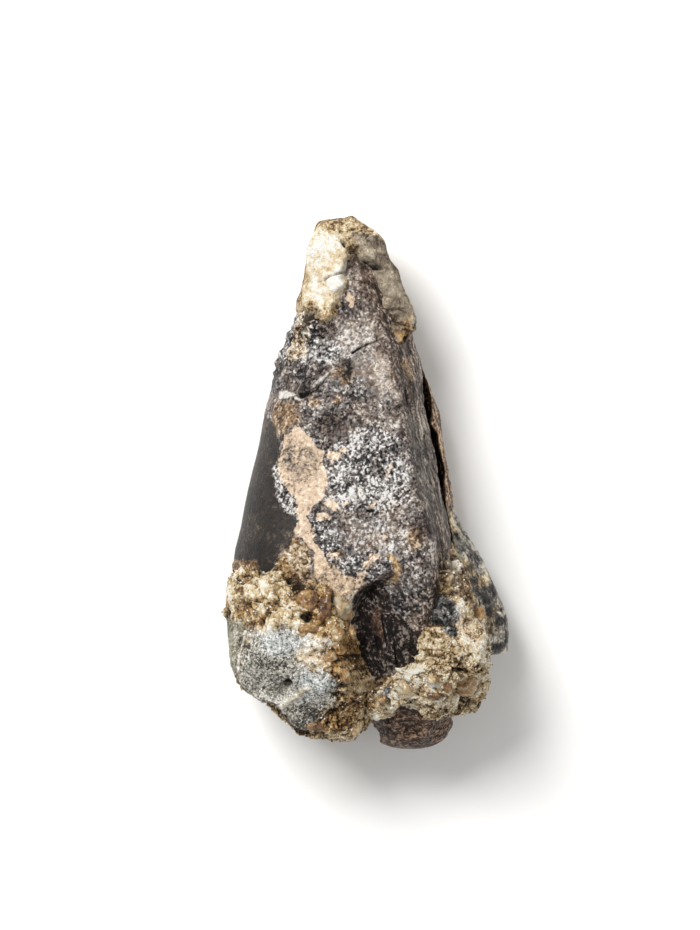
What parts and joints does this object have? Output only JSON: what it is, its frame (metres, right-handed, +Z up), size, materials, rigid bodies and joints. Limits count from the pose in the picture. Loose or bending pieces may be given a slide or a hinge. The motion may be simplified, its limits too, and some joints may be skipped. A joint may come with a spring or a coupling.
{
  "type": "fossil hadrosaur tooth",
  "caption": "Tapering fossil hadrosaur tooth lying on its back, still held by broken sandstone at its root and tip.",
  "frame": {"origin": "on the surface it rests on, under the middle of its box", "axes": "+Y from the root to the tip of the tooth, +Z up out of the tooth's front face, +X towards the neighbouring tooth's edge"},
  "size_m": [0.0282, 0.0532, 0.0197],
  "materials": {
    "fossil_tooth": "weathered grey fossil enamel and brown root, mottled tan and silver-grey",
    "fossil_plate": "dark brown-grey fossil enamel",
    "sandstone": "rough broken sandstone, cream to grey, with ochre and amber staining"
  },
  "bodies": {
    "root": {"tooth": "fossil_tooth", "side_plate": "fossil_plate", "matrix": "sandstone"}
  },
  "joints": []
}
